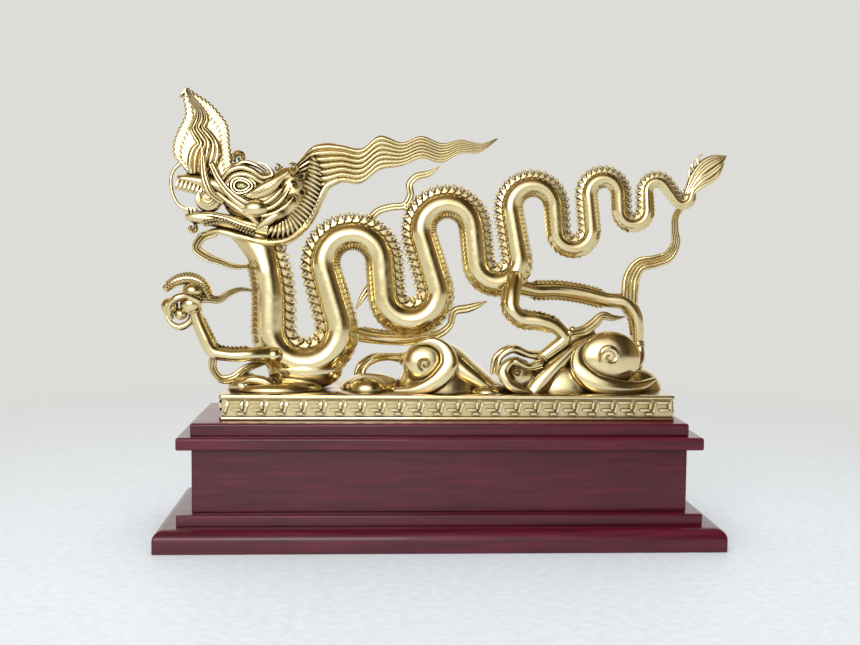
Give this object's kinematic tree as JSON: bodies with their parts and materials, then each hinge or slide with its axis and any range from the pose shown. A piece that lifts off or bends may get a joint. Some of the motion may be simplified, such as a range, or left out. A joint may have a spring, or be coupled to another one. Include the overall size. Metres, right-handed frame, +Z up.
{
  "type": "dragon sculpture",
  "caption": "Cast brass dragon with a looping serpent body, flame crest and wavy mane on a key-fret base, standing on a stepped plinth of dark red lacquered wood.",
  "frame": {"origin": "middle of the foot board's underside", "axes": "+Z up, +X from the head towards the tail along the plinth, -Y towards the viewer of the side with the raised paw"},
  "size_m": [0.5206, 0.192, 0.408],
  "materials": {
    "brass": "polished pale brass with brown patina in the recesses",
    "lacquered_wood": "glossy dark red lacquer"
  },
  "bodies": {
    "root": {"dragon": "brass", "foot_board": "lacquered_wood", "lower_step_board": "lacquered_wood", "plinth_box": "lacquered_wood", "upper_ledge_board": "lacquered_wood", "top_board": "lacquered_wood"}
  },
  "joints": []
}
